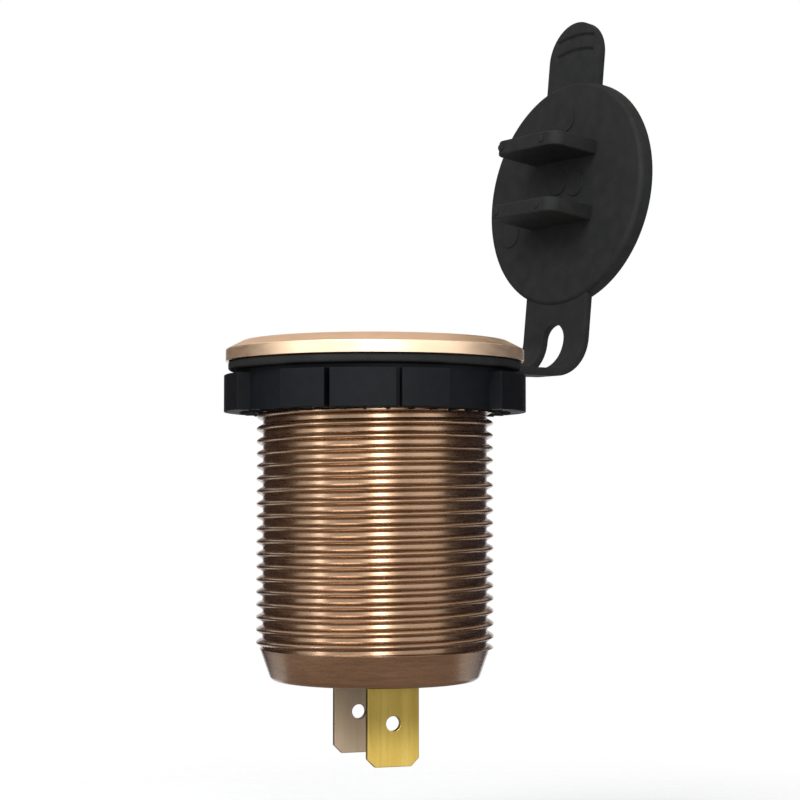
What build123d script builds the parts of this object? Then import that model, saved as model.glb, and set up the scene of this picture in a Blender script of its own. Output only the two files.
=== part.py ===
from build123d import *
import os
from math import cos, floor, radians, sin, tan

# All sizes are in millimetres. Z points out of the panel, and Z = 0 is the panel's front face.
# +X points to the cap's strap. The two ports lie along X, and their openings are long in Y.

# Housing: a turned barrel with a fine thread outside, drawn at its crests, and a bevelled flange in front
BORE_D = 23.2
WALL_T = 2.65            # from the bore to the thread's crests
BARREL_L = 38.1          # from the flange's underside to the rear end
TAPER_L = 3.85           # plain tapered rear end
TAPER_STEP = 0.45        # the taper starts this far inside the crests
TAPER_DROP = 1.35        # radius lost along the taper
REAR_BEVEL = 0.45
THREAD_PITCH = 1.5
THREAD_DEPTH = 0.75
THREAD_SIDES = 24
THREAD_OVERLAP = 0.4     # sleeve and barrel share this much wall where they join
REAR_LIP_T = 1.6
REAR_LIP_W = 1.0
FLANGE_OVERHANG = 3.75   # beyond the crests
RIM_H = 1.45
BEVEL_H = 1.02
BEVEL_W = 2.0
RECESS_LEDGE = 3.1       # the face's recess is this much wider than the bore, all round
RECESS_DEPTH = 1.4

# Lock nut: four lobes, each split into three pads by two grooves
NUT_CLEARANCE = 0.1      # between crests and nut, and between nut and rubber ring
NUT_COLLAR_H = 0.5       # round collar above the lobes
NUT_LOBE_H = 4.4
NUT_CORE_W = 2.35        # radial wall of the nut between lobes, from the crests
NUT_LOBE_W = 3.95        # the same at a lobe
LOBE_COUNT = 4
LOBE_ANGLE = 62.0
LOBE_FLARE = 2.5         # each lobe is this much wider at its root, in degrees a side
PAD_TURN = 13.2          # from a lobe's middle to each groove, in degrees
PAD_GROOVE_W = 0.62
PAD_GROOVE_DEPTH = 0.9
NUT_TURN = 49.9          # the first lobe's middle, in degrees from +X

# Rubber moulding: ring, strap, and cap with plugs and pull tab
RING_T = 1.05
RING_INSET = 0.3         # inside the flange's edge
RING_CLEARANCE = 0.1
STRAP_W = 11.8
STRAP_REACH = 6.7        # from the ring's edge to the axis the cap swings about
BEND_R = 5.2
STRAP_SETBACK = 0.3      # strap and tab, behind the cap's inner face
STRAP_STUB = 1.2         # flat root left on the ring and on the cap
STRAP_CUT = 0.05
SLOT_W = 4.2
SLOT_FLAT = 0.3          # centre of the slot's round end, before the bend
SLOT_RISE = 0.05         # centre of the other end, past the bend
OPEN_ANGLE = 96.0        # from closed to hanging open
CAP_SEAT_GAP = 0.15
CAP_OVERLAP = 0.15       # over the face insert, all round
CAP_T = 2.2
CAP_INNER_BEVEL = 0.6
CAP_OUTER_BEVEL = 0.35
TAB_W = 9.8
TAB_L = 8.2
TAB_ROOT = 3.0           # run of the tab into the disc
GRIP_STEPS = (1.9, 3.85) # grip grooves, from the tab's tip
GRIP_R = 14.0
GRIP_L = 7.0
GRIP_W = 0.45
GRIP_DEPTH = 0.35
PLUG_W = 12.3
PLUG_T = 1.9
PLUG_L = 7.2
PLUG_ROUND = 1.5
PLUG_CLEARANCE = 0.25    # from a plug to the contact tongue

# Ports
PORT_PITCH = 8.6
PORT_W = 12.5
PORT_H = 5.12
PORT_ROUND = 0.4
PORT_CHAMFER = 0.3
SHELL_T = 0.3
SHELL_L = 11.5
LEG_W = 1.6
LEG_L = 2.0
LEG_ROOT = 1.0
TONGUE_T = 1.84
TONGUE_W = 11.1
TONGUE_BACK = 0.5        # from the tongue to the shell, on the strap's side
TONGUE_SINK = 0.8        # below the shell's mouth
TONGUE_TIP = 0.4
BASE_H = 3.0
CONTACT_W = 1.0
CONTACT_T = 0.3
CONTACT_PROUD = 0.08
CONTACT_SINK = 0.9       # below the tongue's tip
CONTACT_PLACES = (-3.5, -1.0, 1.0, 3.5)
TAIL_L = 0.8

# Face insert
FACE_SINK = 0.2
FACE_BOSS = 1.2
FIT = 0.05               # clearance of pieces that are pushed or soldered together

# Boards and what stands on them
BOARD_CLEARANCE = 0.2
PORT_BOARD_T = 1.2
POWER_BOARD_T = 1.6
PIN_W = 0.64
SIGNAL_PINS = 4
SUPPLY_PINS = 2
PIN_PITCH = 2.54
PIN_EDGE = 2.3
PIN_OUT = 0.8
PART_EDGE = 0.8          # from the board's edge to the round parts
INDUCTOR_D = 7.6
INDUCTOR_H = 6.5
INDUCTOR_RIM = 1.2
INDUCTOR_STEM_D = 4.0
WINDING_INSET = 0.3
INDUCTOR_TURN = 130.0
CAPACITOR_D = 6.3
CAPACITOR_HEADROOM = 2.4 # under the port board
CAPACITOR_BEVEL = 0.35
INPUT_CAPACITOR_TURN = 32.0
OUTPUT_CAPACITOR_TURN = -42.0
CHIP_L = 4.9
CHIP_W = 3.9
CHIP_H = 1.5
CHIP_LIFT = 0.12
LEAD_COUNT = 4           # on each side
LEAD_PITCH = 1.27
LEAD_W = 0.42
LEAD_T = 0.2
LEAD_REACH = 1.05
CONVERTER_PLACE = (-4.4, -2.4)
DIODE_SIZE = (2.6, 4.4, 2.1)
DIODE_PLACE = (1.0, -1.2)
FUSE_SIZE = (6.1, 2.7, 2.5)
MOULD_CHAMFER = 0.2
CERAMIC_SIZE = (2.0, 1.25, 1.2)
CERAMIC_PLACES = ((-5.5, 5.0), (0.0, 4.4), (0.0, -7.4))

# Terminals and rear cover
BLADE_W = 6.3
BLADE_T = 0.8
BLADE_OUT = 9.5          # below the barrel
BLADE_CHAMFER = 0.95
BLADE_HOLE_D = 1.75
BLADE_HOLE_UP = 5.0      # hole above the tip
SHOULDER_W = 8.0
SHOULDER_H = 1.5
TANG_W = 2.4
TERMINAL_SPACING = 13.8
TERMINAL_TURN = 18.5     # the pair's line, from the ports' long direction
COVER_T = 2.0
COVER_WALL = 1.0
COVER_CUP_H = 5.0
SPIGOT_SINK = 0.2

# Radii worked out from the sizes above
BORE_R = BORE_D / 2
THREAD_R = BORE_R + WALL_T
TAPER_R = THREAD_R - TAPER_STEP
LIP_R = BORE_R - REAR_LIP_W
FLANGE_R = THREAD_R + FLANGE_OVERHANG
RECESS_R = BORE_R + RECESS_LEDGE
RING_R = FLANGE_R - RING_INSET
CAP_R = RECESS_R + CAP_OVERLAP
BOARD_R = BORE_R - BOARD_CLEARANCE
PIN_X = BOARD_R - PIN_EDGE
TERMINAL_R = TERMINAL_SPACING / 2

# Heights worked out from the sizes above
FLANGE_TOP = RING_T + RIM_H + BEVEL_H
RECESS_FLOOR = FLANGE_TOP - RECESS_DEPTH
BARREL_END = RING_T - BARREL_L
TAPER_TOP = BARREL_END + TAPER_L
LIP_TOP = BARREL_END + REAR_LIP_T
MOUTH_Z = RECESS_FLOOR - FACE_BOSS
PORT_BOARD_TOP = MOUTH_Z - SHELL_L
PORT_BOARD_BOTTOM = PORT_BOARD_TOP - PORT_BOARD_T
COVER_FLOOR = LIP_TOP + COVER_T
POWER_BOARD_BOTTOM = COVER_FLOOR + COVER_CUP_H
POWER_BOARD_TOP = POWER_BOARD_BOTTOM + POWER_BOARD_T
BLADE_TIP = BARREL_END - BLADE_OUT
CAP_Z = FLANGE_TOP + CAP_SEAT_GAP
TONGUE_TOP = MOUTH_Z - TONGUE_SINK

# The strap bends about an axis along Y, in the middle of its thickness
HINGE_X = RING_R + STRAP_REACH
HINGE_Z = RING_T / 2
STRAP_Z = CAP_Z + STRAP_SETBACK + RING_T / 2
LEAN = radians(OPEN_ANGLE - 90)
HALF_RISE = radians(90 - OPEN_ANGLE / 2)
SWING = STRAP_Z - HINGE_Z
BEND_SPAN = BEND_R * tan(HALF_RISE)
BEND_X = HINGE_X + SWING / cos(LEAN) - BEND_SPAN
STRAIGHT_L = HINGE_X - SWING * tan(LEAN) - BEND_SPAN - CAP_R - STRAP_STUB

# Places along X within a port, from its middle
PORTS = {"near": PORT_PITCH / 2, "far": -PORT_PITCH / 2}
TONGUE_X = PORT_H / 2 - TONGUE_BACK - TONGUE_T / 2
TONGUE_FACE = TONGUE_X - TONGUE_T / 2
CONTACT_X = TONGUE_FACE - CONTACT_PROUD + CONTACT_T / 2
PLUG_X = TONGUE_FACE - PLUG_CLEARANCE - PLUG_T / 2


def turned(points):
    """Solid of revolution about Z from an outline of (radius, height) points."""
    return revolve(Plane.XZ * make_face(Polyline(*points, close=True)), Axis.Z)


def block(size_x, size_y, bottom, top, x=0.0, y=0.0):
    """Upright block between two heights."""
    return Pos(x, y, (bottom + top) / 2) * Box(size_x, size_y, top - bottom)


def rounded_block(size_x, size_y, radius, bottom, top, x=0.0):
    """Upright block with rounded corners between two heights."""
    return Pos(x, 0, bottom) * extrude(RectangleRounded(size_x, size_y, radius), top - bottom)


def at_angle(shape, radius, angle):
    """Place a shape at a radius and an angle round Z."""
    return Pos(radius * cos(radians(angle)), radius * sin(radians(angle))) * shape


def thread_sleeve():
    """Ridges of the thread as plain rings round a many-sided sleeve, so that their faces stay few and flat."""
    root = THREAD_R - THREAD_DEPTH
    outline = [(root, TAPER_TOP)]
    for ridge in range(floor((RING_T - TAPER_TOP) / THREAD_PITCH)):
        base = TAPER_TOP + ridge * THREAD_PITCH
        outline += [(THREAD_R, base + THREAD_PITCH / 2), (root, base + THREAD_PITCH)]
    inner = root - 2 * THREAD_OVERLAP
    outline += [(root, RING_T), (inner, RING_T), (inner, TAPER_TOP)]
    half = radians(180 / THREAD_SIDES)
    flat = [(r * cos(half), z) for r, z in outline]
    side = extrude(Plane.XZ * make_face(Polyline(*flat, close=True)), THREAD_R * sin(half), both=True)
    reach = FLANGE_R
    sector = make_face(Polyline((0, 0), (reach, -reach * tan(half)), (reach, reach * tan(half)), close=True))
    side &= Pos(0, 0, TAPER_TOP) * extrude(sector, RING_T - TAPER_TOP)
    sides = [Rot(0, 0, place * 360 / THREAD_SIDES) * side for place in range(THREAD_SIDES)]
    return sides[0].fuse(*sides[1:])


def housing():
    core = THREAD_R - THREAD_DEPTH - THREAD_OVERLAP
    front = [(RECESS_R, FLANGE_TOP), (FLANGE_R - BEVEL_W, FLANGE_TOP), (FLANGE_R, FLANGE_TOP - BEVEL_H),
             (FLANGE_R, RING_T), (core, RING_T)]
    slope = TAPER_DROP / TAPER_L
    rear = [(core, TAPER_TOP), (TAPER_R, TAPER_TOP),
            (TAPER_R - TAPER_DROP + slope * REAR_BEVEL, BARREL_END + REAR_BEVEL),
            (TAPER_R - TAPER_DROP - REAR_BEVEL, BARREL_END),
            (LIP_R, BARREL_END), (LIP_R, LIP_TOP), (BORE_R, LIP_TOP)]
    seat = [(BORE_R, RECESS_FLOOR), (RECESS_R, RECESS_FLOOR)]
    return turned(front + rear + seat) + thread_sleeve()


def lock_nut():
    bore = THREAD_R + NUT_CLEARANCE
    core = THREAD_R + NUT_CORE_W
    outer = THREAD_R + NUT_LOBE_W
    top = -NUT_CLEARANCE
    lobe_top = top - NUT_COLLAR_H
    bottom = lobe_top - NUT_LOBE_H
    collar = turned([(bore, top), (core, top), (core, bottom), (bore, bottom)])
    lobes = turned([(bore, lobe_top), (outer, lobe_top), (outer, bottom), (bore, bottom)])
    pitch = 360 / LOBE_COUNT
    wide = radians((pitch - LOBE_ANGLE) / 2)
    narrow = wide - radians(LOBE_FLARE)
    far = outer * outer / core
    gap = make_face(Polyline((core * cos(narrow), -core * sin(narrow)), (far * cos(wide), -far * sin(wide)),
                             (far * cos(wide), far * sin(wide)), (core * cos(narrow), core * sin(narrow)),
                             close=True))
    recess = Pos(0, 0, bottom) * extrude(gap, NUT_LOBE_H)
    groove = block(PAD_GROOVE_DEPTH * 2, PAD_GROOVE_W, bottom, lobe_top, x=outer)
    for lobe in range(LOBE_COUNT):
        turn = NUT_TURN + lobe * pitch
        lobes -= Rot(0, 0, turn + pitch / 2) * recess
        lobes -= Rot(0, 0, turn + PAD_TURN) * groove
        lobes -= Rot(0, 0, turn - PAD_TURN) * groove
    return collar + lobes


def cap_ring():
    inner = THREAD_R + RING_CLEARANCE
    ring = turned([(inner, 0), (RING_R, 0), (RING_R, RING_T), (inner, RING_T)])
    end = RING_R + STRAP_STUB
    return ring + block(end - inner, STRAP_W, 0, RING_T, x=(inner + end) / 2)


def past_bend(length):
    """Point in XZ on the strap's line, this far up from the end of the bend."""
    x = BEND_X + BEND_R * cos(LEAN) + length * sin(LEAN)
    return x, HINGE_Z + BEND_R * (1 - sin(LEAN)) + length * cos(LEAN)


def strap_path(start, straight):
    """Line out from the ring, round the bend and up towards the cap."""
    bend = CenterArc((BEND_X, HINGE_Z + BEND_R), BEND_R, -90, 180 - OPEN_ANGLE)
    rise = Line(past_bend(0), past_bend(straight))
    return Plane.XZ * (Line((start, HINGE_Z), (BEND_X, HINGE_Z)) + bend + rise)


def strip(start, straight, width, thickness):
    """Flat strip along the strap's line."""
    section = Plane((start, 0, HINGE_Z), x_dir=(0, 1, 0), z_dir=(1, 0, 0)) * Rectangle(width, thickness)
    return sweep(section, path=strap_path(start, straight))


def cap_strap():
    """The slot runs round the bend and has full-round ends, one on the flat and one on the rise."""
    band = strip(RING_R + STRAP_STUB + STRAP_CUT, STRAIGHT_L, STRAP_W, RING_T)
    slot = strip(BEND_X - SLOT_FLAT, SLOT_RISE, SLOT_W, RING_T * 2)
    hole = Cylinder(SLOT_W / 2, RING_T * 2)
    low = Pos(BEND_X - SLOT_FLAT, 0, HINGE_Z) * hole
    x, z = past_bend(SLOT_RISE)
    high = Plane((x, 0, z), z_dir=(cos(LEAN), 0, -sin(LEAN))) * hole
    return band - slot - low - high


def pull_tab(bottom):
    tip = -CAP_R - TAB_L
    middle = tip + TAB_W / 2
    root = TAB_ROOT - CAP_R
    outline = Pos((middle + root) / 2, 0) * Rectangle(root - middle, TAB_W) + Pos(middle, 0) * Circle(TAB_W / 2)
    tab = Pos(0, 0, bottom) * extrude(outline, RING_T)
    for step in GRIP_STEPS:
        ring = Circle(GRIP_R + GRIP_W / 2) - Circle(GRIP_R - GRIP_W / 2)
        arc = Pos(tip + step + GRIP_R, 0) * (ring & (Pos(-GRIP_R, 0) * Rectangle(GRIP_R, GRIP_L)))
        tab -= Pos(0, 0, bottom) * extrude(arc, GRIP_DEPTH)
    return tab


def plug(x):
    slab = block(PLUG_T, PLUG_W, CAP_Z - PLUG_L, CAP_Z, x=x)
    tip_edges = slab.edges().filter_by(Axis.X).group_by(Axis.Z)[0]
    return fillet(tip_edges, PLUG_ROUND)


def dust_cap():
    """The cap is drawn closed on the face and then swung open about the strap's bend."""
    back = CAP_Z + CAP_T
    disc = turned([(0, CAP_Z), (CAP_R - CAP_INNER_BEVEL, CAP_Z), (CAP_R, CAP_Z + CAP_INNER_BEVEL),
                   (CAP_R, back - CAP_OUTER_BEVEL), (CAP_R - CAP_OUTER_BEVEL, back), (0, back)])
    layer = CAP_Z + STRAP_SETBACK
    root = block(TAB_ROOT + STRAP_STUB, STRAP_W, layer, layer + RING_T, x=CAP_R + (STRAP_STUB - TAB_ROOT) / 2)
    cap = disc + root + pull_tab(layer)
    for x in PORTS.values():
        cap += plug(x + PLUG_X)
    hinge = Pos(HINGE_X, 0, HINGE_Z)
    return hinge * Rot(0, OPEN_ANGLE, 0) * hinge.inverse() * cap


def face_insert():
    plate = turned([(0, FLANGE_TOP - FACE_SINK), (RECESS_R - FIT, FLANGE_TOP - FACE_SINK),
                    (RECESS_R - FIT, RECESS_FLOOR), (BORE_R - FIT, RECESS_FLOOR),
                    (BORE_R - FIT, MOUTH_Z), (0, MOUTH_Z)])
    for x in PORTS.values():
        plate -= rounded_block(PORT_H, PORT_W, PORT_ROUND, MOUTH_Z, FLANGE_TOP, x=x)
    front = plate.faces().filter_by(Axis.Z).sort_by(Axis.Z)[-1]
    mouths = [edge for wire in front.inner_wires() for edge in wire.edges()]
    return chamfer(mouths, PORT_CHAMFER)


def port_shell(x):
    outer = rounded_block(PORT_H + 2 * SHELL_T, PORT_W + 2 * SHELL_T, PORT_ROUND + SHELL_T,
                          PORT_BOARD_TOP, MOUTH_Z, x=x)
    shell = outer - rounded_block(PORT_H, PORT_W, PORT_ROUND, PORT_BOARD_TOP, MOUTH_Z, x=x)
    for y in leg_places():
        shell += block(LEG_W, SHELL_T, PORT_BOARD_TOP - LEG_L, PORT_BOARD_TOP + LEG_ROOT, x=x, y=y)
    return shell


def leg_places():
    reach = (PORT_W + SHELL_T) / 2
    return (-reach, reach)


def port_tongue(x):
    base = rounded_block(PORT_H - 2 * FIT, PORT_W - 2 * FIT, PORT_ROUND,
                         PORT_BOARD_TOP, PORT_BOARD_TOP + BASE_H, x=x)
    tongue = block(TONGUE_T, TONGUE_W, PORT_BOARD_TOP + BASE_H, TONGUE_TOP, x=x + TONGUE_X)
    tip_edges = tongue.edges().filter_by(Axis.Y).group_by(Axis.Z)[-1]
    body = base + chamfer(tip_edges, TONGUE_TIP)
    room = CONTACT_T + FIT
    for y in CONTACT_PLACES:
        body -= block(room, CONTACT_W + 2 * FIT, PORT_BOARD_TOP, TONGUE_TOP - CONTACT_SINK,
                      x=x + CONTACT_X - FIT / 2, y=y)
    return body


def port_contacts(x):
    bottom = PORT_BOARD_BOTTOM - TAIL_L
    strips = [block(CONTACT_T, CONTACT_W, bottom, TONGUE_TOP - CONTACT_SINK, x=x + CONTACT_X, y=y)
              for y in CONTACT_PLACES]
    return Compound(strips)


def pin_places():
    """Signal pins in a row at -X, and the supply pair at +X."""
    places = []
    for x, count in ((-PIN_X, SIGNAL_PINS), (PIN_X, SUPPLY_PINS)):
        first = -(count - 1) * PIN_PITCH / 2
        places += [(x, first + place * PIN_PITCH) for place in range(count)]
    return places


def board_pins():
    bottom = POWER_BOARD_BOTTOM - PIN_OUT
    top = PORT_BOARD_TOP + PIN_OUT
    return Compound([block(PIN_W, PIN_W, bottom, top, x=x, y=y) for x, y in pin_places()])


def drilled_board(bottom, top):
    """Round board with the header pins' holes."""
    board = turned([(0, bottom), (BOARD_R, bottom), (BOARD_R, top), (0, top)])
    hole = PIN_W + 2 * FIT
    for x, y in pin_places():
        board -= block(hole, hole, bottom, top, x=x, y=y)
    return board


def port_board():
    board = drilled_board(PORT_BOARD_BOTTOM, PORT_BOARD_TOP)
    for x in PORTS.values():
        for y in CONTACT_PLACES:
            board -= block(CONTACT_T + 2 * FIT, CONTACT_W + 2 * FIT, PORT_BOARD_BOTTOM, PORT_BOARD_TOP,
                           x=x + CONTACT_X, y=y)
        for y in leg_places():
            board -= block(LEG_W + 2 * FIT, SHELL_T + 2 * FIT, PORT_BOARD_BOTTOM, PORT_BOARD_TOP, x=x, y=y)
    return board


def power_board():
    board = drilled_board(POWER_BOARD_BOTTOM, POWER_BOARD_TOP)
    slot = block(TANG_W + 2 * FIT, BLADE_T + 2 * FIT, POWER_BOARD_BOTTOM, POWER_BOARD_TOP)
    for turn in terminal_turns().values():
        board -= at_terminal(slot, turn)
    return board


def inductor_place(shape):
    return at_angle(shape, BOARD_R - PART_EDGE - INDUCTOR_D / 2, INDUCTOR_TURN)


def inductor_core():
    rim = INDUCTOR_D / 2
    stem = INDUCTOR_STEM_D / 2
    top = POWER_BOARD_TOP + INDUCTOR_H
    low = POWER_BOARD_TOP + INDUCTOR_RIM
    high = top - INDUCTOR_RIM
    return inductor_place(turned([(0, POWER_BOARD_TOP), (rim, POWER_BOARD_TOP), (rim, low), (stem, low),
                                  (stem, high), (rim, high), (rim, top), (0, top)]))


def inductor_winding():
    inner = INDUCTOR_STEM_D / 2 + FIT
    outer = INDUCTOR_D / 2 - WINDING_INSET
    low = POWER_BOARD_TOP + INDUCTOR_RIM
    high = POWER_BOARD_TOP + INDUCTOR_H - INDUCTOR_RIM
    return inductor_place(turned([(inner, low), (outer, low), (outer, high), (inner, high)]))


def capacitor(turn):
    """Radial can with a bevelled top."""
    can = CAPACITOR_D / 2
    foot = POWER_BOARD_TOP
    top = PORT_BOARD_BOTTOM - CAPACITOR_HEADROOM
    shape = turned([(0, foot), (can, foot), (can, top - CAPACITOR_BEVEL), (can - CAPACITOR_BEVEL, top),
                    (0, top)])
    return at_angle(shape, BOARD_R - PART_EDGE - can, turn)


def leaded_chip():
    """Moulded chip with gull-wing leads, standing on Z = 0."""
    body = block(CHIP_W, CHIP_L, CHIP_LIFT, CHIP_LIFT + CHIP_H)
    body = chamfer(body.edges().group_by(Axis.Z)[-1], MOULD_CHAMFER)
    knee = CHIP_W / 2 + LEAD_REACH / 2
    middle = CHIP_LIFT + CHIP_H / 2
    outline = Polyline((0, middle), (knee, middle), (knee, 0), (CHIP_W / 2 + LEAD_REACH, 0),
                       (CHIP_W / 2 + LEAD_REACH, LEAD_T), (knee + LEAD_T, LEAD_T),
                       (knee + LEAD_T, middle + LEAD_T), (0, middle + LEAD_T), close=True)
    lead = extrude(Plane.XZ * make_face(outline), LEAD_W / 2, both=True)
    for place in range(LEAD_COUNT):
        y = (place - (LEAD_COUNT - 1) / 2) * LEAD_PITCH
        body += Pos(0, y, 0) * lead
        body += Pos(0, y, 0) * Rot(0, 0, 180) * lead
    return body


def moulded_block(size):
    """Small moulded part with a bevelled top, standing on Z = 0."""
    body = block(size[0], size[1], 0, size[2])
    return chamfer(body.edges().group_by(Axis.Z)[-1], MOULD_CHAMFER)


def under(shape, height):
    """Hang a part that stands on Z = 0 under a board."""
    return Pos(0, 0, height) * Rot(180, 0, 0) * shape


def converter_chip():
    return Pos(*CONVERTER_PLACE, POWER_BOARD_TOP) * leaded_chip()


def rectifier_diode():
    return Pos(*DIODE_PLACE, POWER_BOARD_TOP) * moulded_block(DIODE_SIZE)


def input_fuse():
    return under(moulded_block(FUSE_SIZE), POWER_BOARD_BOTTOM)


def port_chip():
    return under(leaded_chip(), PORT_BOARD_BOTTOM)


def chip_capacitors():
    return Compound([Pos(x, y, 0) * under(moulded_block(CERAMIC_SIZE), PORT_BOARD_BOTTOM)
                     for x, y in CERAMIC_PLACES])


def terminal_turns():
    return {"positive": -TERMINAL_TURN, "negative": 180 - TERMINAL_TURN}


def at_terminal(shape, turn):
    """Move a shape that is centred on Z to a terminal's place."""
    return Rot(0, 0, turn) * Pos(0, -TERMINAL_R, 0) * shape


def terminal(turn):
    half = BLADE_W / 2
    shoulder = SHOULDER_W / 2
    tang = TANG_W / 2
    ledge = COVER_FLOOR + SHOULDER_H
    top = POWER_BOARD_TOP + PIN_OUT
    right = [(half - BLADE_CHAMFER, BLADE_TIP), (half, BLADE_TIP + BLADE_CHAMFER), (half, COVER_FLOOR),
             (shoulder, COVER_FLOOR), (shoulder, ledge), (tang, ledge), (tang, top)]
    left = [(-x, z) for x, z in reversed(right)]
    blade = extrude(Plane.XZ * make_face(Polyline(*right, *left, close=True)), BLADE_T / 2, both=True)
    hole = Pos(0, 0, BLADE_TIP + BLADE_HOLE_UP) * Rot(90, 0, 0) * Cylinder(BLADE_HOLE_D / 2, BLADE_T * 2)
    return at_terminal(blade - hole, turn)


def rear_cover():
    outer = BORE_R - FIT
    inner = outer - COVER_WALL
    spigot = LIP_R - FIT
    bottom = BARREL_END + SPIGOT_SINK
    cup = turned([(0, bottom), (spigot, bottom), (spigot, LIP_TOP), (outer, LIP_TOP),
                  (outer, POWER_BOARD_BOTTOM), (inner, POWER_BOARD_BOTTOM), (inner, COVER_FLOOR),
                  (0, COVER_FLOOR)])
    slot = block(BLADE_W + 2 * FIT, BLADE_T + 2 * FIT, bottom, COVER_FLOOR)
    for turn in terminal_turns().values():
        cup -= at_terminal(slot, turn)
    return cup


def all_pieces():
    pieces = {
        "housing": housing(),
        "lock_nut": lock_nut(),
        "cap_ring": cap_ring(),
        "cap_strap": cap_strap(),
        "dust_cap": dust_cap(),
        "face_insert": face_insert(),
        "port_board": port_board(),
        "power_board": power_board(),
        "board_pins": board_pins(),
        "inductor_core": inductor_core(),
        "inductor_winding": inductor_winding(),
        "input_capacitor": capacitor(INPUT_CAPACITOR_TURN),
        "output_capacitor": capacitor(OUTPUT_CAPACITOR_TURN),
        "converter_chip": converter_chip(),
        "rectifier_diode": rectifier_diode(),
        "input_fuse": input_fuse(),
        "port_chip": port_chip(),
        "chip_capacitors": chip_capacitors(),
        "rear_cover": rear_cover(),
    }
    for name, x in PORTS.items():
        pieces[f"port_shell_{name}"] = port_shell(x)
        pieces[f"port_tongue_{name}"] = port_tongue(x)
        pieces[f"port_contacts_{name}"] = port_contacts(x)
    for name, turn in terminal_turns().items():
        pieces[f"{name}_terminal"] = terminal(turn)
    return pieces


os.makedirs("parts", exist_ok=True)
for node, shape in all_pieces().items():
    export_step(shape, f"parts/{node}.step")
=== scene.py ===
import math

import bmesh
import bpy
from mathutils import Matrix, Vector


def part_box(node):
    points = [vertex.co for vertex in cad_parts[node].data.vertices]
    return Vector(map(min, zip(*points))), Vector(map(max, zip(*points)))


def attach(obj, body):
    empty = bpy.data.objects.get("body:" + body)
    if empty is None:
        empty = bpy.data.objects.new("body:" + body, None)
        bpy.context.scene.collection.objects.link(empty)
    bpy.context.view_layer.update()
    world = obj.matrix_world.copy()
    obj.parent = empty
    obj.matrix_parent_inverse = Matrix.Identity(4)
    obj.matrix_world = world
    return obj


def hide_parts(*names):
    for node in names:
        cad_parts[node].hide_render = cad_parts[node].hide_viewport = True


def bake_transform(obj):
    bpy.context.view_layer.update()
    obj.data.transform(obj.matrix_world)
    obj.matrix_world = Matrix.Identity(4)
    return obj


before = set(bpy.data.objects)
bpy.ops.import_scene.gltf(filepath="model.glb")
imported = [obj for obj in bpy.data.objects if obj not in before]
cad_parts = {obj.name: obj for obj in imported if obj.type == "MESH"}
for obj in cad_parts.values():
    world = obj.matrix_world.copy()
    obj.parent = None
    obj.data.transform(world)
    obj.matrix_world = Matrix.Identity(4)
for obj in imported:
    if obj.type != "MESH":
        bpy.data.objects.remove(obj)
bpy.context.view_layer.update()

# Lengths in this script are millimetres; a piece is scaled to metres as it is finished.
MM = 0.001
FULL_TURN = 2 * math.pi
SHARP = math.radians(32)
CORNER = math.radians(60)
TURN_STEPS = 180


def box_mm(node):
    """Lowest and highest corner of a CAD node, in millimetres."""
    low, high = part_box(node)
    return low / MM, high / MM


# Sizes read from the CAD nodes
HOUSING_LO, HOUSING_HI = box_mm("housing")
NUT_LO, NUT_HI = box_mm("lock_nut")
RING_LO, RING_HI = box_mm("cap_ring")
STRAP_LO, STRAP_HI = box_mm("cap_strap")
BLADE_LO, BLADE_HI = box_mm("positive_terminal")

# Housing
FLANGE_R = HOUSING_HI.x
FLANGE_TOP = HOUSING_HI.z
BARREL_END = HOUSING_LO.z
RING_T = RING_HI.z
RIM_TOP = RING_T + 1.45
BEVEL_W = 2.0
RECESS_R = 14.7
RECESS_FLOOR = FLANGE_TOP - 1.4
BORE_R = 11.6
LIP_R = 10.6
LIP_T = 1.6
THREAD_R = 14.25
THREAD_ROOM = 0.1
THREAD_DEPTH = 0.75
THREAD_PITCH = 1.5
THREAD_STEPS = 120
THREAD_TURNS = 24
THREAD_START = -34.62
ROOT_HALF = 0.56
CREST_ROUND = ((0.07, 0.0), (0.20, 0.10), (0.32, 0.30))
TAPER_L = 3.85
TAPER_R = 13.8
TAPER_END_R = 12.45
TAPER_EDGE = 0.08
REAR_ROUND = 0.6
RIM_EDGE = 0.1

# Lock nut
NUT_BORE_R = THREAD_R + THREAD_ROOM
NUT_CORE_R = 16.6
NUT_LOBE_R = 18.2
NUT_TOP = NUT_HI.z
NUT_LOBE_TOP = NUT_TOP - 0.5
NUT_BOTTOM = NUT_LO.z
NUT_TURN = 49.9
LOBES = 4
PAD_MIDDLE = 12
PAD_INNER = 14
PAD_ROOT = 33
PAD_TIP_DRAW = 0.8
NUT_STEPS = 360
NUT_EDGE = 0.2
NUT_TEETH = 36
TOOTH_H = 0.22
TOOTH_W = 0.7
TOOTH_TIP_SHARE = 0.35
TOOTH_INSET = 0.25

# Ring, strap and cap
RING_BORE_R = THREAD_R + THREAD_ROOM
RING_R = 17.7
RING_EDGE = 0.3
HINGE_X = 24.4
HINGE_Z = RING_T / 2
OPEN_ANGLE = 96
STRAP_W = STRAP_HI.y - STRAP_LO.y
STRAP_T = 1.0
STRAP_EDGE = 0.09
STRAP_CELL = 0.2
STRAP_ROOT_X = 16.4
BEND_X = 23.71
BEND_R = 5.2
STRAP_END = 6.2
SLOT_W = 4.2
SLOT_FROM = -2.4
SLOT_PAST = 2.0
CAP_R = 14.85
CAP_T = 2.2
CAP_Z = 3.67
CAP_SET_BACK = 0.3
CAP_INNER_EDGE = 0.65
CAP_OUTER_EDGE = 0.4
TAB_W = 9.8
TAB_L = 8.2
TAB_T = 1.05
TAB_LAP = 2.0
TAB_EDGE = 0.07
TAB_CELL = 0.15
GRIP_FROM_TIP = (1.9, 3.85)
GRIP_ARC_R = 14.0
GRIP_REACH = 3.4
GRIP_HALF = 0.3
GRIP_DEPTH = 0.3
PLUG_W = 12.1
PLUG_T = 1.9
PLUG_L = 7.0
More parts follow.
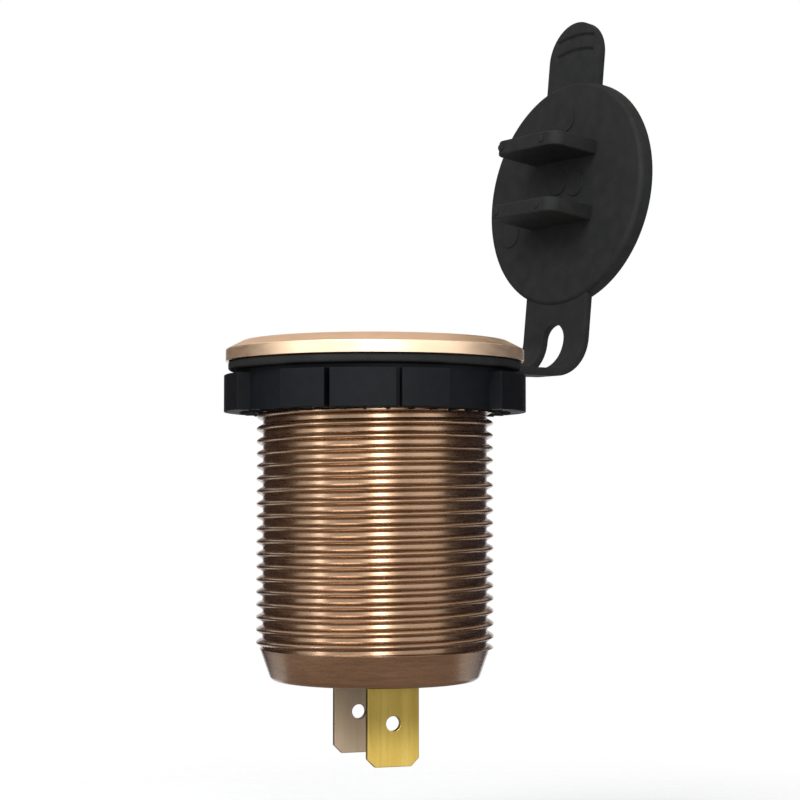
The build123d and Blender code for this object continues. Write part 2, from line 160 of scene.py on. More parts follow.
PLUG_ROUND = 1.5
PLUG_EDGE = 0.22
PLUG_SUNK = 0.4
PLUG_XS = (-5.28, 3.32)
DOT_R = 0.5
DOT_YS = (4.7, -3.3)
MARK_H = 0.16
MARKS = ((-9.8, 0.3, 1.6), (-1.5, 1.0, 1.7), (-1.0, -2.4, 1.7), (4.5, 10.0, 1.8))

# Terminals
BLADE_W = 6.3
BLADE_T = 0.8
BLADE_TOP = BLADE_HI.z
BLADE_TIP = BLADE_LO.z
BLADE_CORNER = 0.95
BLADE_EDGE = 0.07
BLADE_SHARP = math.radians(15)
BLADE_HOLE_R = 0.875
BLADE_HOLE_UP = 5.0
BLADE_AT = 6.9
TERMINAL_TURN = 18.5


def sharp_edges(bm, least=SHARP):
    """Edges whose two faces meet at more than this angle."""
    return [e for e in bm.edges if e.is_manifold and e.calc_face_angle() > least]


def bevel_edges(bm, edges, width, segments):
    bmesh.ops.bevel(bm, geom=edges, offset=width, segments=segments, profile=0.5,
                    affect="EDGES", material=-1, clamp_overlap=True)


def clean(bm, gap=0.0005):
    bmesh.ops.remove_doubles(bm, verts=bm.verts, dist=gap)
    bmesh.ops.recalc_face_normals(bm, faces=bm.faces)


def add_mesh(bm, other):
    """Copies one bmesh into another."""
    spare = bpy.data.meshes.new("spare")
    other.to_mesh(spare)
    other.free()
    bm.from_mesh(spare)
    bpy.data.meshes.remove(spare)


def turned(outline, steps):
    """A closed outline of (radius, height) points spun about Z."""
    bm = bmesh.new()
    verts = [bm.verts.new((r, 0, z)) for r, z in outline]
    edges = [bm.edges.new((verts[i - 1], verts[i])) for i in range(len(verts))]
    bmesh.ops.spin(bm, geom=verts + edges, cent=(0, 0, 0), axis=(0, 0, 1), dvec=(0, 0, 0),
                   angle=FULL_TURN, steps=steps, use_merge=True)
    clean(bm)
    return bm


def circle_edges(bm, radius, height, near=0.02):
    """The edges of a turned shape that lie on one circle."""
    found = []
    for edge in bm.edges:
        on = [abs(math.hypot(v.co.x, v.co.y) - radius) < near and abs(v.co.z - height) < near
              for v in edge.verts]
        if all(on):
            found.append(edge)
    return found


def block(size, centre):
    """A box of the given size."""
    bm = bmesh.new()
    bmesh.ops.create_cube(bm, size=1.0)
    bmesh.ops.scale(bm, vec=size, verts=bm.verts)
    bmesh.ops.translate(bm, vec=centre, verts=bm.verts)
    return bm


def finish_piece(bm, name, body, material, nodes, sharp=SHARP):
    """Scales the piece to metres, shades it and puts it on its body."""
    bmesh.ops.scale(bm, vec=(MM, MM, MM), verts=bm.verts)
    bmesh.ops.recalc_face_normals(bm, faces=bm.faces)
    for face in bm.faces:
        face.smooth = True
    for edge in sharp_edges(bm, sharp):
        edge.smooth = False
    mesh = bpy.data.meshes.new(name)
    bm.to_mesh(mesh)
    bm.free()
    mesh.materials.append(material)
    obj = bpy.data.objects.new(name, mesh)
    bpy.context.scene.collection.objects.link(obj)
    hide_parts(*nodes)
    if body:
        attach(obj, body)
        obj.modifiers.new("flat faces stay flat", "WEIGHTED_NORMAL").keep_sharp = True
    return obj


# Materials
COAT_ROUGH = 0.16
# Height above the blade tips over which the painted shade on the blades sets in.
BLADE_SHADE_UP = 6.5


def new_material(name):
    """A node material and its parts."""
    material = bpy.data.materials.new(name)
    material.use_nodes = True
    tree = material.node_tree
    return material, tree, tree.nodes["Principled BSDF"]


def noise_of(tree, scale, detail=4.0, stretch=(1, 1, 1)):
    """Noise on the object's own coordinates, stretched along the axes."""
    coords = tree.nodes.new("ShaderNodeTexCoord")
    mapping = tree.nodes.new("ShaderNodeMapping")
    mapping.inputs["Scale"].default_value = stretch
    noise = tree.nodes.new("ShaderNodeTexNoise")
    noise.inputs["Scale"].default_value = scale
    noise.inputs["Detail"].default_value = detail
    tree.links.new(coords.outputs["Object"], mapping.inputs["Vector"])
    tree.links.new(mapping.outputs["Vector"], noise.inputs["Vector"])
    return noise.outputs["Fac"]


def ramp_of(tree, value, stops):
    """A colour ramp of (place, colour) stops on a value."""
    ramp = tree.nodes.new("ShaderNodeValToRGB")
    elements = ramp.color_ramp.elements
    elements[0].position, elements[0].color = stops[0][0], (*stops[0][1], 1)
    elements[1].position, elements[1].color = stops[-1][0], (*stops[-1][1], 1)
    for place, colour in stops[1:-1]:
        elements.new(place).color = (*colour, 1)
    tree.links.new(value, ramp.inputs["Fac"])
    return ramp.outputs["Color"]


def span_of(tree, value, low, high):
    """A noise value spread between two numbers."""
    spread = tree.nodes.new("ShaderNodeMapRange")
    spread.inputs["From Min"].default_value = 0.3
    spread.inputs["From Max"].default_value = 0.7
    spread.inputs["To Min"].default_value = low
    spread.inputs["To Max"].default_value = high
    tree.links.new(value, spread.inputs["Value"])
    return spread.outputs["Result"]


def bump_of(tree, value, strength, depth):
    bump = tree.nodes.new("ShaderNodeBump")
    bump.inputs["Strength"].default_value = strength
    bump.inputs["Distance"].default_value = depth * MM
    tree.links.new(value, bump.inputs["Height"])
    return bump.outputs["Normal"]


def plain_finish(name, dark, light, rough, grain, bump, metallic=0.0, specular=0.5,
                 stretch=(1, 1, 1), coat=0.0):
    """A surface whose colour, gloss and relief all vary with noise, under a clear coat or none."""
    material, tree, shader = new_material(name)
    broad = noise_of(tree, grain / 6, 3.0, stretch)
    fine = noise_of(tree, grain, 5.0, stretch)
    tree.links.new(ramp_of(tree, broad, [(0.3, dark), (0.7, light)]), shader.inputs["Base Color"])
    tree.links.new(span_of(tree, fine, *rough), shader.inputs["Roughness"])
    tree.links.new(bump_of(tree, fine, bump, 0.02), shader.inputs["Normal"])
    shader.inputs["Metallic"].default_value = metallic
    shader.inputs["Specular IOR Level"].default_value = specular
    shader.inputs["Coat Weight"].default_value = coat
    shader.inputs["Coat Roughness"].default_value = COAT_ROUGH
    return material


def paint_blade_shade(material, root_shade):
    """Painted shade: darkens a blade from its bright tip up to where it leaves the barrel."""
    tree = material.node_tree
    base = tree.nodes["Principled BSDF"].inputs["Base Color"]
    unshaded_metal = base.links[0].from_socket
    coords = tree.nodes.new("ShaderNodeTexCoord")
    height = tree.nodes.new("ShaderNodeSeparateXYZ")
    tone = tree.nodes.new("ShaderNodeMapRange")
    tone.interpolation_type = "SMOOTHSTEP"
    tone.inputs["From Min"].default_value = BLADE_TIP * MM
    tone.inputs["From Max"].default_value = (BLADE_TIP + BLADE_SHADE_UP) * MM
    tone.inputs["To Min"].default_value = 1.0
    tone.inputs["To Max"].default_value = root_shade
    shade = tree.nodes.new("ShaderNodeVectorMath")
    shade.operation = "SCALE"
    tree.links.new(coords.outputs["Object"], height.inputs["Vector"])
    tree.links.new(height.outputs["Z"], tone.inputs["Value"])
    tree.links.new(unshaded_metal, shade.inputs[0])
    tree.links.new(tone.outputs["Result"], shade.inputs["Scale"])
    tree.links.new(shade.outputs["Vector"], base)


# Painted shade: the barrel and its thread take the rim's bronze darkened well below it, standing in
# for the shade between the thread's ridges; the flange keeps the lighter copy.
ANODISED_PAINTED_SHADE = plain_finish("anodised aluminium painted shade", (0.27, 0.166, 0.098), (0.36, 0.232, 0.142),
                        (0.22, 0.34), 4000, 0.06, metallic=1.0, stretch=(0.12, 0.12, 1), coat=0.6)
RIM = plain_finish("turned bright rim", (0.65, 0.47, 0.32), (0.75, 0.56, 0.39),
                   (0.42, 0.52), 4000, 0.08, metallic=1.0, stretch=(0.1, 0.1, 1), coat=0.15)
NYLON = plain_finish("black nylon", (0.002, 0.0025, 0.0035), (0.0033, 0.0038, 0.005),
                     (0.52, 0.64), 5000, 0.16, specular=0.10)
RUBBER = plain_finish("black rubber", (0.0085, 0.009, 0.009), (0.0125, 0.013, 0.0125),
                      (0.62, 0.74), 3500, 0.14, specular=0.13)
PLASTIC = plain_finish("black plastic", (0.012, 0.012, 0.013), (0.017, 0.017, 0.018),
                       (0.50, 0.60), 4500, 0.14, specular=0.25)
BRASS = plain_finish("brass blade", (0.58, 0.40, 0.085), (0.80, 0.60, 0.16),
                     (0.24, 0.36), 2500, 0.15, metallic=1.0, stretch=(1, 1, 0.06))
TINNED = plain_finish("tinned blade", (0.34, 0.27, 0.19), (0.46, 0.37, 0.27),
                      (0.34, 0.46), 2500, 0.12, metallic=1.0, stretch=(1, 1, 0.08))
# Painted shade on both blades, darkening from the bright tips up towards the barrel.
paint_blade_shade(BRASS, 0.4)
paint_blade_shade(TINNED, 0.7)
STEEL = plain_finish("plated steel", (0.60, 0.60, 0.60), (0.72, 0.72, 0.71),
                     (0.20, 0.30), 3000, 0.08, metallic=1.0, stretch=(1, 1, 0.1))
WHITE = plain_finish("white plastic", (0.74, 0.74, 0.72), (0.80, 0.80, 0.78),
                     (0.38, 0.48), 3000, 0.06)
GOLD = plain_finish("contact gold", (0.80, 0.56, 0.20), (0.88, 0.64, 0.27),
                    (0.18, 0.26), 3000, 0.05, metallic=1.0)
BOARD = plain_finish("board green", (0.012, 0.075, 0.035), (0.018, 0.10, 0.05),
                     (0.30, 0.42), 1500, 0.05)
FERRITE = plain_finish("ferrite", (0.035, 0.035, 0.037), (0.055, 0.055, 0.057),
                       (0.55, 0.70), 2500, 0.2)
COPPER = plain_finish("copper wire", (0.60, 0.24, 0.11), (0.70, 0.31, 0.15),
                      (0.22, 0.32), 4000, 0.1, metallic=1.0, stretch=(0.1, 0.1, 1))
SLEEVE = plain_finish("capacitor sleeve", (0.016, 0.018, 0.03), (0.02, 0.024, 0.04),
                      (0.26, 0.36), 2000, 0.05)
MOULD = plain_finish("chip mould", (0.018, 0.018, 0.018), (0.026, 0.026, 0.026),
                     (0.48, 0.60), 4000, 0.12)
CERAMIC = plain_finish("ceramic body", (0.36, 0.27, 0.18), (0.44, 0.33, 0.23),
                       (0.34, 0.46), 3000, 0.06)


def make_housing():
    core = THREAD_R - THREAD_DEPTH
    taper_top = BARREL_END + TAPER_L
    lip_top = BARREL_END + LIP_T
    bm = turned([
        (core, RING_T), (FLANGE_R, RING_T), (FLANGE_R, RIM_TOP),
        (FLANGE_R - BEVEL_W, FLANGE_TOP), (RECESS_R, FLANGE_TOP), (RECESS_R, RECESS_FLOOR),
        (BORE_R, RECESS_FLOOR), (BORE_R, lip_top), (LIP_R, lip_top), (LIP_R, BARREL_END),
        (TAPER_END_R, BARREL_END), (TAPER_R, taper_top), (core, taper_top)], TURN_STEPS)
    bevel_edges(bm, circle_edges(bm, TAPER_END_R, BARREL_END), REAR_ROUND, 5)
    rims = circle_edges(bm, FLANGE_R, RIM_TOP) + circle_edges(bm, FLANGE_R, RING_T)
    rims += circle_edges(bm, FLANGE_R - BEVEL_W, FLANGE_TOP)
    rims += circle_edges(bm, RECESS_R, FLANGE_TOP)
    bevel_edges(bm, rims, RIM_EDGE, 3)
    bevel_edges(bm, circle_edges(bm, TAPER_R, taper_top), TAPER_EDGE, 2)
    add_mesh(bm, make_thread(core, taper_top))
    # Flange faces above the ring take the lighter rim copy; the barrel and thread stay on the
    # darker copy, which is painted shade.
    for face in bm.faces:
        mid = face.calc_center_median()
        if mid.z > RING_T + 0.05 and math.hypot(mid.x, mid.y) > RECESS_R + 0.05:
            face.material_index = 1
    shell = finish_piece(bm, "threaded_housing", "socket", ANODISED_PAINTED_SHADE,
                         ["housing"])
    shell.data.materials.append(RIM)


def make_thread(core, bottom):
    """The right-hand ridge, cut level where the barrel's taper and the ring begin."""
    ridge = bmesh.new()
    flank = [(THREAD_R - drop, half) for half, drop in CREST_ROUND]
    flank += [(core, ROOT_HALF), (core - 0.1, ROOT_HALF)]
    section = [(r, -z) for r, z in reversed(flank)] + flank
    verts = [ridge.verts.new((r, 0, THREAD_START + z)) for r, z in section]
    edges = [ridge.edges.new((verts[i - 1], verts[i])) for i in range(len(verts))]
    bmesh.ops.spin(ridge, geom=verts + edges, cent=(0, 0, 0), axis=(0, 0, 1),
                   dvec=(0, 0, THREAD_PITCH / THREAD_STEPS), angle=FULL_TURN * THREAD_TURNS,
                   steps=THREAD_STEPS * THREAD_TURNS)
    for level, keep in ((bottom, 1), (RING_T, -1)):
        geom = ridge.verts[:] + ridge.edges[:] + ridge.faces[:]
        cut = bmesh.ops.bisect_plane(ridge, geom=geom, plane_co=(0, 0, level), dist=1e-5,
                                     plane_no=(0, 0, keep), clear_inner=True)
        rim = [g for g in cut["geom_cut"] if isinstance(g, bmesh.types.BMEdge)]
        bmesh.ops.holes_fill(ridge, edges=rim, sides=0)
    return ridge


def make_nut():
    bm = turned([(NUT_BORE_R, NUT_TOP), (NUT_CORE_R, NUT_TOP), (NUT_CORE_R, NUT_LOBE_TOP),
                 (NUT_CORE_R, NUT_BOTTOM), (NUT_BORE_R, NUT_BOTTOM)], NUT_STEPS)
    middle = (NUT_LOBE_TOP + NUT_BOTTOM) / 2
    pads = [(-PAD_MIDDLE, PAD_MIDDLE), (PAD_INNER, PAD_ROOT), (-PAD_ROOT, -PAD_INNER)]
    for lobe in range(LOBES):
        for start, stop in pads:
            raise_pad(bm, lobe * 360 / LOBES, start, stop, middle)
    clean(bm)
    outer = [e for e in sharp_edges(bm, math.radians(40))
             if max(math.hypot(v.co.x, v.co.y) for v in e.verts) > NUT_CORE_R + 0.3]
    bevel_edges(bm, outer, NUT_EDGE, 3)
    for tooth in range(NUT_TEETH):
        add_mesh(bm, make_tooth(tooth * 360 / NUT_TEETH))
    bmesh.ops.rotate(bm, cent=(0, 0, 0), verts=bm.verts,
                     matrix=Matrix.Rotation(math.radians(NUT_TURN), 3, "Z"))
    finish_piece(bm, "ribbed_lock_nut", "nut", NYLON, ["lock_nut"])


def make_tooth(turn):
    """One low radial ridge of the gripping teeth under the nut."""
    span = NUT_CORE_R - NUT_BORE_R - 2 * TOOTH_INSET
    middle = (NUT_CORE_R + NUT_BORE_R) / 2
    bm = block((span, TOOTH_W, 2 * TOOTH_H), (middle, 0, NUT_BOTTOM + TOOTH_H))
    top = [v for v in bm.verts if v.co.z < NUT_BOTTOM + 0.01]
    bmesh.ops.translate(bm, vec=(0, 0, -TOOTH_H), verts=top)
    for vert in top:
        vert.co.y *= TOOTH_TIP_SHARE
    bmesh.ops.rotate(bm, cent=(0, 0, 0), verts=bm.verts,
                     matrix=Matrix.Rotation(math.radians(turn), 3, "Z"))
    return bm


def turn_of(point, centre):
    """Angle of a point about Z from a centre angle, in degrees between -180 and 180."""
    angle = math.degrees(math.atan2(point.y, point.x)) - centre
    return (angle + 180) % 360 - 180


def raise_pad(bm, centre, start, stop, height):
    """Pulls one block of wall faces out to the lobe radius."""
    faces = []
    for face in bm.faces:
        mid = face.calc_center_median()
        on_wall = abs(math.hypot(mid.x, mid.y) - NUT_CORE_R) < 0.05 and abs(mid.z - height) < 0.1
        if on_wall and start < turn_of(mid, centre) < stop:
            faces.append(face)
    grown = bmesh.ops.extrude_face_region(bm, geom=faces)["geom"]
    verts = [g for g in grown if isinstance(g, bmesh.types.BMVert)]
    bmesh.ops.delete(bm, geom=[f for f in faces if f.is_valid], context="FACES")
    bmesh.ops.scale(bm, vec=(NUT_LOBE_R / NUT_CORE_R, NUT_LOBE_R / NUT_CORE_R, 1), verts=verts)
    for side in (-1, 1):
        edge = [v for v in verts if abs(turn_of(v.co, centre) - side * PAD_ROOT) < 0.2]
        bmesh.ops.rotate(bm, cent=(0, 0, 0), verts=edge,
                         matrix=Matrix.Rotation(math.radians(-side * PAD_TIP_DRAW), 3, "Z"))


def make_ring():
    bm = turned([(RING_BORE_R, 0), (RING_R, 0), (RING_R, RING_T), (RING_BORE_R, RING_T)],
                TURN_STEPS)
    outer = circle_edges(bm, RING_R, 0) + circle_edges(bm, RING_R, RING_T)
    bevel_edges(bm, outer, RING_EDGE, 4)
    finish_piece(bm, "strap_ring", "socket", RUBBER, ["cap_ring"])


def plate(cols, rows, low, high, keep, snap, thickness):
    """A fine grid with cells left out and its verts drawn onto an outline, then given thickness."""
    bm = bmesh.new()
    bmesh.ops.create_grid(bm, x_segments=cols, y_segments=rows, size=0.5)
    bmesh.ops.translate(bm, vec=(0.5, 0.5, 0), verts=bm.verts)
    bmesh.ops.scale(bm, vec=(high[0] - low[0], high[1] - low[1], 1), verts=bm.verts)
    bmesh.ops.translate(bm, vec=(low[0], low[1], 0), verts=bm.verts)
    lost = [f for f in bm.faces if not keep(f.calc_center_median())]
    bmesh.ops.delete(bm, geom=lost, context="FACES")
    for vert in bm.verts:
        if vert.is_boundary:
            vert.co = snap(vert.co)
    bmesh.ops.recalc_face_normals(bm, faces=bm.faces)
    bmesh.ops.solidify(bm, geom=bm.faces[:], thickness=thickness)
    level = min(v.co.z for v in bm.verts)
    bmesh.ops.translate(bm, vec=(0, 0, -level - thickness / 2), verts=bm.verts)
    bmesh.ops.recalc_face_normals(bm, faces=bm.faces)
    return bm


def strap_frame(s):
    """Point and turn of the strap's middle line at a length s past the start of its bend."""
    angle = math.radians(180 - OPEN_ANGLE)
    turn = min(max(s / BEND_R, 0), angle)
    point = Vector((BEND_X + BEND_R * math.sin(turn), 0,
                    HINGE_Z + BEND_R * (1 - math.cos(turn))))
    straight = s - turn * BEND_R
    return point + Vector((math.cos(turn), 0, math.sin(turn))) * straight, turn


def make_strap():
    bend = BEND_R * math.radians(180 - OPEN_ANGLE)
    start = STRAP_ROOT_X - BEND_X
    stop = bend + STRAP_END
    slot_low = SLOT_FROM
    slot_high = bend + SLOT_PAST
    radius = SLOT_W / 2

    def slot_gap(point):
        along = min(max(point.x, slot_low + radius), slot_high - radius)
        return math.hypot(point.x - along, point.y) - radius

    def snap(point):
        if slot_gap(point) > 0.8:
            return point
        along = min(max(point.x, slot_low + radius), slot_high - radius)
        away = Vector((point.x - along, point.y, 0)).normalized()
        return Vector((along, 0, 0)) + away * radius

    cols = round((stop - start) / STRAP_CELL)
    rows = round(STRAP_W / STRAP_CELL)
    bm = plate(cols, rows, (start, -STRAP_W / 2), (stop, STRAP_W / 2),
               lambda p: slot_gap(p) > 0, snap, STRAP_T)
    bevel_edges(bm, sharp_edges(bm, CORNER), STRAP_EDGE, 2)
    for vert in bm.verts:
        point, turn = strap_frame(vert.co.x)
        normal = Vector((-math.sin(turn), 0, math.cos(turn)))
        vert.co = point + normal * vert.co.z + Vector((0, vert.co.y, 0))
    strap = finish_piece(bm, "living_hinge_strap", None, RUBBER, ["cap_strap"])
    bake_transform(strap)


def make_cap():
    back = CAP_Z + CAP_T
    disc = turned([(0, CAP_Z), (CAP_R, CAP_Z), (CAP_R, back), (0, back)], TURN_STEPS)
    bevel_edges(disc, circle_edges(disc, CAP_R, CAP_Z), CAP_INNER_EDGE, 5)
    bevel_edges(disc, circle_edges(disc, CAP_R, back), CAP_OUTER_EDGE, 4)
    add_mesh(disc, make_tab())
    for x in PLUG_XS:
        add_mesh(disc, make_plug(x))
        for y in DOT_YS:
            add_mesh(disc, button(DOT_R, (x, y, CAP_Z - PLUG_L)))
    for x, y, radius in MARKS:
        add_mesh(disc, button(radius, (x, y, CAP_Z)))
    hinge = Vector((HINGE_X, 0, HINGE_Z))
    bmesh.ops.rotate(disc, cent=hinge, verts=disc.verts,
                     matrix=Matrix.Rotation(math.radians(OPEN_ANGLE), 3, "Y"))
    finish_piece(disc, "dust_cap_cover", "cap", RUBBER, ["dust_cap"])


def make_tab():
    """The pull tab, as drawn with the cap closed; its grip side is the inner face."""
    tip = -CAP_R - TAB_L
    centre = tip + TAB_W / 2
    root = -CAP_R + TAB_LAP

    def keep(point):
        return point.x > centre or math.hypot(point.x - centre, point.y) < TAB_W / 2

    def snap(point):
        if point.x > centre:
            return point
        away = Vector((point.x - centre, point.y, 0)).normalized()
        return Vector((centre, 0, 0)) + away * TAB_W / 2

    cols = round((root - tip) / TAB_CELL)
    rows = round(TAB_W / TAB_CELL)
    bm = plate(cols, rows, (tip, -TAB_W / 2), (root, TAB_W / 2), keep, snap, TAB_T)
    bevel_edges(bm, sharp_edges(bm, CORNER), TAB_EDGE, 2)
    for vert in bm.verts:
        if vert.co.z < -0.3:
            for back in GRIP_FROM_TIP:
                middle = tip + back + GRIP_ARC_R
                gap = abs(math.hypot(vert.co.x - middle, vert.co.y) - GRIP_ARC_R)
                end = max(0.0, abs(vert.co.y) - GRIP_REACH)
                gap = math.hypot(gap, end)
                if gap < GRIP_HALF and vert.co.x < middle:
                    vert.co.z += GRIP_DEPTH * (1 - (gap / GRIP_HALF) ** 2)
    bmesh.ops.translate(bm, vec=(0, 0, CAP_Z + CAP_SET_BACK + TAB_T / 2), verts=bm.verts)
    return bm


def button(radius, centre):
    """A low round pad with a soft edge, facing down from the given point."""
    bm = bmesh.new()
    bmesh.ops.create_cone(bm, cap_ends=True, segments=40, radius1=radius, radius2=radius,
                          depth=2 * MARK_H)
    bmesh.ops.translate(bm, vec=centre, verts=bm.verts)
    low = [e for e in sharp_edges(bm) if all(v.co.z < centre[2] for v in e.verts)]
    bevel_edges(bm, low, MARK_H * 0.6, 2)
    return bm


def make_plug(x):
    length = PLUG_L + PLUG_SUNK
    bm = block((PLUG_T, PLUG_W, length), (x, 0, CAP_Z - (PLUG_L - PLUG_SUNK) / 2))
    tip = CAP_Z - PLUG_L
    corners = [e for e in bm.edges if all(abs(v.co.z - tip) < 0.01 for v in e.verts)
               and abs(e.verts[0].co.y - e.verts[1].co.y) < 0.01]
    bevel_edges(bm, corners, PLUG_ROUND, 8)
    bevel_edges(bm, sharp_edges(bm, math.radians(50)), PLUG_EDGE, 3)
    return bm


def make_terminal(name, turn, material, node):
    bm = bmesh.new()
    half = BLADE_W / 2
    outline = [(-half, BLADE_TOP), (-half, BLADE_TIP + BLADE_CORNER),
               (-half + BLADE_CORNER, BLADE_TIP), (half - BLADE_CORNER, BLADE_TIP),
               (half, BLADE_TIP + BLADE_CORNER), (half, BLADE_TOP)]
    verts = [bm.verts.new((0, y, z)) for y, z in outline]
    edges = [bm.edges.new((verts[i - 1], verts[i])) for i in range(len(verts))]
    seat = Matrix.Translation((0, 0, BLADE_TIP + BLADE_HOLE_UP)) @ Matrix.Rotation(
        math.pi / 2, 4, "Y")
    ring = bmesh.ops.create_circle(bm, segments=48, radius=BLADE_HOLE_R, matrix=seat)["verts"]
    edges += list({e for v in ring for e in v.link_edges})
    bmesh.ops.triangle_fill(bm, use_beauty=True, edges=edges)
    grown = bmesh.ops.extrude_face_region(bm, geom=bm.faces[:], use_keep_orig=True)["geom"]
    moved = [g for g in grown if isinstance(g, bmesh.types.BMVert)]
    bmesh.ops.translate(bm, vec=(BLADE_T, 0, 0), verts=moved)
    bmesh.ops.translate(bm, vec=(BLADE_AT - BLADE_T / 2, 0, 0), verts=bm.verts)
    bmesh.ops.recalc_face_normals(bm, faces=bm.faces)
    bevel_edges(bm, sharp_edges(bm, math.radians(30)), BLADE_EDGE, 2)
    bmesh.ops.rotate(bm, cent=(0, 0, 0), verts=bm.verts,
                     matrix=Matrix.Rotation(math.radians(turn), 3, "Z"))
    finish_piece(bm, name, "socket", material, [node], sharp=BLADE_SHARP)


KEPT = {
    "face_insert": ("black_plastic", PLASTIC),
    "rear_cover": ("black_plastic", PLASTIC),
    "port_shell_near": ("plated_steel", STEEL),
    "port_shell_far": ("plated_steel", STEEL),
    "port_tongue_near": ("white_plastic", WHITE),
    "port_tongue_far": ("white_plastic", WHITE),
    "port_contacts_near": ("contact_gold", GOLD),
    "port_contacts_far": ("contact_gold", GOLD),
    "port_board": ("board_green", BOARD),
    "power_board": ("board_green", BOARD),
    "board_pins": ("contact_gold", GOLD),
    "inductor_core": ("ferrite", FERRITE),
    "inductor_winding": ("copper_wire", COPPER),
    "input_capacitor": ("capacitor_sleeve", SLEEVE),
    "output_capacitor": ("capacitor_sleeve", SLEEVE),
    "converter_chip": ("chip_mould", MOULD),
    "port_chip": ("chip_mould", MOULD),
    "rectifier_diode": ("chip_mould", MOULD),
    "input_fuse": ("ceramic_body", CERAMIC),
    "chip_capacitors": ("ceramic_body", CERAMIC),
}


def finish_kept():
    """Materials for the CAD nodes shown as they are."""
    for name, (slot, material) in KEPT.items():
        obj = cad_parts[name]
        obj.data.materials.clear()
        obj.data.materials.append(material)


make_housing()
make_nut()
make_ring()
make_strap()
make_cap()
make_terminal("positive_blade", 180 + 90 - TERMINAL_TURN, BRASS,
              "positive_terminal")
make_terminal("negative_blade", 90 - TERMINAL_TURN, TINNED, "negative_terminal")
finish_kept()

# Camera
VIEW_TURN = math.radians(53.5)
CAMERA_AWAY = 238.0
CAMERA_ASIDE = 3.02
CAMERA_HEIGHT = -14.94
CAMERA_PITCH = math.radians(2.76)
LENS = 88.7

AHEAD = Vector((math.cos(VIEW_TURN), math.sin(VIEW_TURN), 0))
RIGHT = Vector((math.sin(VIEW_TURN), -math.cos(VIEW_TURN), 0))
UP = Vector((0, 0, 1))


def stage_point(right, ahead, up):
    """A point in metres from millimetres right of, behind and above the part's origin."""
    return (RIGHT * right + AHEAD * ahead + UP * up) * MM


def make_camera():
    data = bpy.data.cameras.new("camera")
    data.lens = LENS
    data.sensor_width = 36.0
    data.clip_start = 0.01
    data.clip_end = 20.0
    camera = bpy.data.objects.new("camera", data)
    bpy.context.scene.collection.objects.link(camera)
    camera.location = stage_point(CAMERA_ASIDE, -CAMERA_AWAY, CAMERA_HEIGHT)
    look = AHEAD * math.cos(CAMERA_PITCH) + UP * math.sin(CAMERA_PITCH)
    camera.rotation_mode = "QUATERNION"
    camera.rotation_quaternion = look.to_track_quat("-Z", "Y")
    bpy.context.scene.camera = camera


def area_light(name, place, aim, width, height, power, colour=(1, 1, 1)):
    data = bpy.data.lights.new(name, "AREA")
    data.shape = "RECTANGLE"
    data.size = width * MM
    data.size_y = height * MM
    data.energy = power
    data.color = colour
    lamp = bpy.data.objects.new(name, data)
    bpy.context.scene.collection.objects.link(lamp)
    lamp.location = stage_point(*place)
    lamp.rotation_mode = "QUATERNION"
    lamp.rotation_quaternion = (stage_point(*aim) - lamp.location).to_track_quat("-Z", "Y")


def make_world():
    world = bpy.data.worlds.new("studio")
    bpy.context.scene.world = world
    world.use_nodes = True
    tree = world.node_tree
    tree.nodes.clear()
    path = tree.nodes.new("ShaderNodeLightPath")
    some = tree.nodes.new("ShaderNodeMath")
    some.operation = "MAXIMUM"
    every = tree.nodes.new("ShaderNodeMath")
    every.operation = "MAXIMUM"
    tree.links.new(path.outputs["Is Camera Ray"], some.inputs[0])
    tree.links.new(path.outputs["Is Glossy Ray"], some.inputs[1])
    tree.links.new(some.outputs[0], every.inputs[0])
    tree.links.new(path.outputs["Is Transmission Ray"], every.inputs[1])
    seen = tree.nodes.new("ShaderNodeBackground")
    seen.inputs["Color"].default_value = (1, 1, 1, 1)
    seen.inputs["Strength"].default_value = 1.0
    fill = tree.nodes.new("ShaderNodeBackground")
    fill.inputs["Color"].default_value = (0.95, 0.97, 1, 1)
    fill.inputs["Strength"].default_value = 0.55
    mix = tree.nodes.new("ShaderNodeMixShader")
    out = tree.nodes.new("ShaderNodeOutputWorld")
    tree.links.new(every.outputs[0], mix.inputs["Fac"])
    tree.links.new(fill.outputs[0], mix.inputs[1])
    tree.links.new(seen.outputs[0], mix.inputs[2])
    tree.links.new(mix.outputs[0], out.inputs["Surface"])


# Floor, lights and the boards that the metal mirrors
FLOOR_DROP = 16.0
FLOOR_HALF = 4.0
FLOOR_FADE = (60, 150)


def floor_paper():
    """White paper that fades out round the object, so that the white world shows past it."""
    material, tree, shader = new_material("floor paper")
    paper = noise_of(tree, 300, 3.0)
    tree.links.new(ramp_of(tree, paper, [(0.3, (0.90, 0.90, 0.90)), (0.7, (0.93, 0.93, 0.93))]),
                   shader.inputs["Base Color"])
    shader.inputs["Roughness"].default_value = 0.9
    coords = tree.nodes.new("ShaderNodeTexCoord")
    reach = tree.nodes.new("ShaderNodeVectorMath")
    reach.operation = "LENGTH"
    fade = tree.nodes.new("ShaderNodeMapRange")
    fade.interpolation_type = "SMOOTHSTEP"
    fade.inputs["From Min"].default_value = FLOOR_FADE[0] * MM
    fade.inputs["From Max"].default_value = FLOOR_FADE[1] * MM
    fade.inputs["To Min"].default_value = 1.0
    fade.inputs["To Max"].default_value = 0.0
    tree.links.new(coords.outputs["Object"], reach.inputs[0])
    tree.links.new(reach.outputs["Value"], fade.inputs["Value"])
    tree.links.new(fade.outputs["Result"], shader.inputs["Alpha"])
    return material


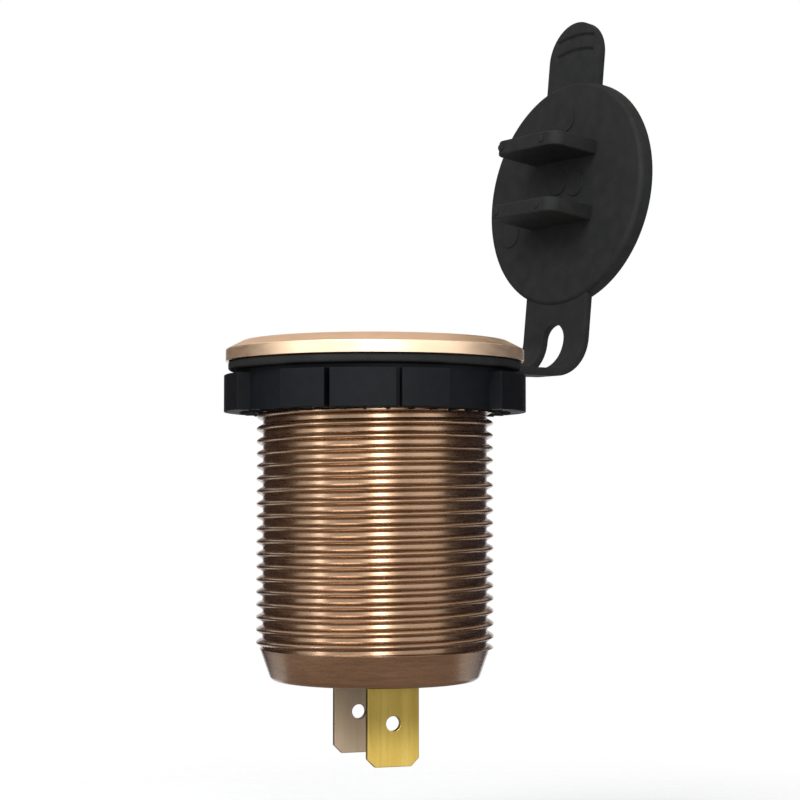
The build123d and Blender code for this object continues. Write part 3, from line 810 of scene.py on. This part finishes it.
def make_floor():
    bm = bmesh.new()
    bmesh.ops.create_grid(bm, x_segments=1, y_segments=1, size=FLOOR_HALF)
    bmesh.ops.translate(bm, vec=(0, 0, (BLADE_TIP - FLOOR_DROP) * MM), verts=bm.verts)
    mesh = bpy.data.meshes.new("floor")
    bm.to_mesh(mesh)
    bm.free()
    mesh.materials.append(floor_paper())
    floor = bpy.data.objects.new("floor", mesh)
    bpy.context.scene.collection.objects.link(floor)


def dark_card(name, place, aim, width, height, tone):
    """A dark board that the metal mirrors; the camera itself does not see it."""
    bm = bmesh.new()
    bmesh.ops.create_grid(bm, x_segments=1, y_segments=1, size=0.5)
    bmesh.ops.scale(bm, vec=(width * MM, height * MM, 1), verts=bm.verts)
    mesh = bpy.data.meshes.new(name)
    bm.to_mesh(mesh)
    bm.free()
    material, tree, shader = new_material(name)
    felt = noise_of(tree, 200, 2.0)
    tree.links.new(ramp_of(tree, felt, [(0.3, tone), (0.7, [1.2 * t for t in tone])]),
                   shader.inputs["Base Color"])
    shader.inputs["Roughness"].default_value = 1.0
    mesh.materials.append(material)
    card = bpy.data.objects.new(name, mesh)
    bpy.context.scene.collection.objects.link(card)
    card.location = stage_point(*place)
    card.rotation_mode = "QUATERNION"
    card.rotation_quaternion = (stage_point(*aim) - card.location).to_track_quat("Z", "Y")
    card.visible_camera = False
    card.visible_shadow = False
    card.visible_diffuse = False


AIM = (0, 0, -10)
make_camera()
make_world()
make_floor()
area_light("key", (-260, -420, 380), AIM, 300, 300, 3.6)
area_light("front strip", (60, -520, 60), AIM, 120, 420, 1.6)
area_light("left strip", (-415, -280, 60), AIM, 60, 420, 0.45)
area_light("fill", (420, -300, 160), AIM, 300, 300, 0.6)
dark_card("card left", (-480, 300, -20), AIM, 900, 600, (0.06, 0.035, 0.03))
dark_card("card right", (480, 240, -20), AIM, 1000, 600, (0.04, 0.032, 0.045))
dark_card("card top", (40, 250, 320), AIM, 600, 600, (0.62, 0.50, 0.42))
dark_card("card back", (0, 620, 170), AIM, 700, 170, (0.12, 0.07, 0.05))
dark_card("card under", (0, -10, -58), (0, -10, 0), 100, 100, (0.26, 0.2, 0.17))

scene = bpy.context.scene
scene.view_settings.view_transform = "Standard"
